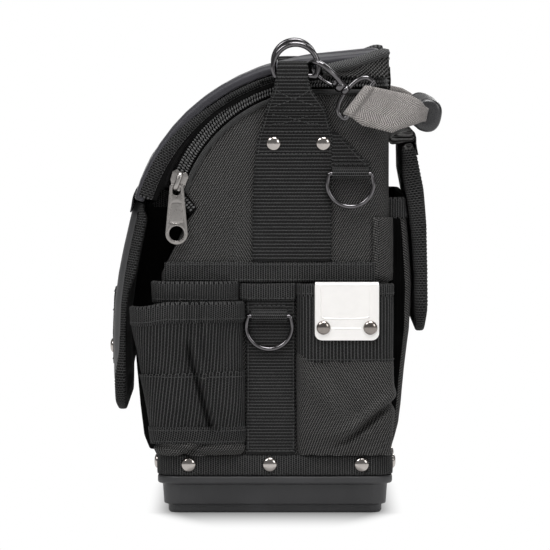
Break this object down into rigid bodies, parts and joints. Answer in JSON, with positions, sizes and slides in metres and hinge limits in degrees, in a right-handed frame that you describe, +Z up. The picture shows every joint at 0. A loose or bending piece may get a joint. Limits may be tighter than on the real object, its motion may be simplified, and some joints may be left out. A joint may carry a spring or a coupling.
{
  "type": "zippered tool bag",
  "caption": "Soft-sided tool bag on a moulded base, with a zipped lid and front flap, outer pockets, metal rings and a clipped carrying handle.",
  "frame": {"origin": "centre of the base's underside", "axes": "+X to the bag's right side as seen from the front, +Y to the back, +Z up; the front faces -Y"},
  "size_m": [0.2808, 0.2324, 0.3292],
  "materials": {
    "base_plastic": "satin moulded, fine grain",
    "webbing": "ribbed woven webbing",
    "cloth": "coarse woven cloth",
    "lining": "plain, dull",
    "smooth_panel": "coated, slight sheen",
    "nickel": "plated, bright",
    "black_metal": "black, glossy",
    "grey_strap": "herringbone webbing",
    "grip_rubber": "smooth, slight sheen"
  },
  "bodies": {
    "bag": {"base_tray": "base_plastic", "base_band": "webbing", "body_shell": "cloth", "divider_panel": "lining", "rear_pocket": "cloth", "front_pocket": "cloth", "rear_flap_root": "cloth", "tape_clip": "nickel", "front_side_pocket_right": "webbing", "front_side_pocket_left": "webbing", "inner_side_pocket_right": "webbing", "inner_side_pocket_left": "webbing", "rear_side_pocket_right": "cloth", "rear_side_pocket_left": "cloth", "waist_band_right": "webbing", "waist_band_left": "webbing", "side_webbing_right": "webbing", "side_webbing_left": "webbing", "centre_webbing_right": "webbing", "centre_webbing_left": "webbing", "diagonal_webbing_right": "webbing", "diagonal_webbing_left": "webbing", "corner_strip_right": "cloth", "corner_strip_left": "cloth", "zip_row_lower_right": "lining", "zip_row_lower_left": "lining"},
    "lid": {"lid_shell": "cloth", "lid_panel": "smooth_panel", "lid_binding_right": "webbing", "lid_binding_left": "webbing", "zip_row_upper_right": "lining", "zip_row_upper_left": "lining"},
    "front_flap": {"front_flap": "smooth_panel", "flap_pull_tab": "webbing"},
    "rear_flap": {"rear_flap": "cloth"},
    "handle": {"handle_grip": "grip_rubber", "handle_webbing_right": "grey_strap", "handle_webbing_left": "grey_strap", "swivel_eye_right": "black_metal", "swivel_eye_left": "black_metal"},
    "hook_right": {"snap_hook_right": "black_metal"},
    "gate_right": {"hook_gate_right": "black_metal"},
    "top_ring_right": {"top_ring_right": "black_metal"},
    "side_ring_right": {"side_ring_right": "black_metal"},
    "lower_ring_right": {"lower_ring_right": "black_metal"},
    "zip_slider_right": {"zip_slider_right": "nickel"},
    "zip_pull_right": {"zip_pull_right": "nickel"},
    "hook_left": {"snap_hook_left": "black_metal"},
    "gate_left": {"hook_gate_left": "black_metal"},
    "top_ring_left": {"top_ring_left": "black_metal"},
    "side_ring_left": {"side_ring_left": "black_metal"},
    "lower_ring_left": {"lower_ring_left": "black_metal"},
    "zip_slider_left": {"zip_slider_left": "nickel"},
    "zip_pull_left": {"zip_pull_left": "nickel"}
  },
  "joints": [
    {"name": "lid_open", "type": "hinge", "parent": "bag", "child": "lid", "pos_m": [0, 0.08, 0.3017], "axis": [-1, 0, 0], "range_deg": [0, 100]},
    {"name": "front_flap_lift", "type": "hinge", "parent": "lid", "child": "front_flap", "pos_m": [0, -0.09845, 0.21915], "axis": [-1, 0, 0], "range_deg": [0, 100]},
    {"name": "rear_flap_lift", "type": "hinge", "parent": "bag", "child": "rear_flap", "pos_m": [0, 0.0977, 0.25875], "axis": [1, 0, 0], "range_deg": [0, 80]},
    {"name": "handle_swing", "type": "hinge", "parent": "bag", "child": "handle", "pos_m": [0, 0.01435, 0.3122], "axis": [1, 0, 0], "range_deg": [0, 118]},
    {"name": "zip_slide_right", "type": "hinge", "parent": "bag", "child": "zip_slider_right", "pos_m": [0, 0.0309, 0.1973], "axis": [-1, 0, 0], "range_deg": [0, 66]},
    {"name": "zip_slide_left", "type": "hinge", "parent": "bag", "child": "zip_slider_left", "pos_m": [0, 0.0309, 0.1973], "axis": [-1, 0, 0], "range_deg": [0, 66]},
    {"name": "zip_pull_flip_right", "type": "hinge", "parent": "zip_slider_right", "child": "zip_pull_right", "pos_m": [0.12205, -0.06851, 0.22937], "axis": [0, 1, 0], "range_deg": [-110, 0]},
    {"name": "zip_pull_flip_left", "type": "hinge", "parent": "zip_slider_left", "child": "zip_pull_left", "pos_m": [-0.12205, -0.06851, 0.22937], "axis": [0, -1, 0], "range_deg": [-110, 0]},
    {"name": "side_ring_swing_right", "type": "hinge", "parent": "bag", "child": "side_ring_right", "pos_m": [0.1234, 0.0525, 0.2373], "axis": [0, -1, 0], "range_deg": [0, 150]},
    {"name": "side_ring_swing_left", "type": "hinge", "parent": "bag", "child": "side_ring_left", "pos_m": [-0.1234, 0.0525, 0.2373], "axis": [0, 1, 0], "range_deg": [0, 150]},
    {"name": "lower_ring_swing_right", "type": "hinge", "parent": "bag", "child": "lower_ring_right", "pos_m": [0.1234, -0.004, 0.138], "axis": [0, -1, 0], "range_deg": [0, 150]},
    {"name": "lower_ring_swing_left", "type": "hinge", "parent": "bag", "child": "lower_ring_left", "pos_m": [-0.1234, -0.004, 0.138], "axis": [0, 1, 0], "range_deg": [0, 150]},
    {"name": "top_ring_lean_right", "type": "hinge", "parent": "bag", "child": "top_ring_right", "pos_m": [0.131, 0.01435, 0.30565], "axis": [0, 1, 0], "range_deg": [-4, 1]},
    {"name": "top_ring_lean_left", "type": "hinge", "parent": "bag", "child": "top_ring_left", "pos_m": [-0.131, 0.01435, 0.30565], "axis": [0, -1, 0], "range_deg": [-4, 1]},
    {"name": "hook_swivel_right", "type": "hinge", "parent": "handle", "child": "hook_right", "pos_m": [0.131, 0.03176, 0.30931], "axis": [0, 0.788, -0.6157], "range_deg": [-5, 8]},
    {"name": "hook_swivel_left", "type": "hinge", "parent": "handle", "child": "hook_left", "pos_m": [-0.131, 0.03176, 0.30931], "axis": [0, -0.788, 0.6157], "range_deg": [-5, 8]},
    {"name": "gate_open_right", "type": "hinge", "parent": "hook_right", "child": "gate_right", "pos_m": [0.12553, 0.04108, 0.29834], "axis": [-0.4695, 0.5436, 0.6958], "range_deg": [0, 18], "stiffness_Nm_per_rad": 0.02},
    {"name": "gate_open_left", "type": "hinge", "parent": "hook_left", "child": "gate_left", "pos_m": [-0.12553, 0.04108, 0.29834], "axis": [-0.4695, -0.5436, -0.6958], "range_deg": [0, 18], "stiffness_Nm_per_rad": 0.02}
  ]
}
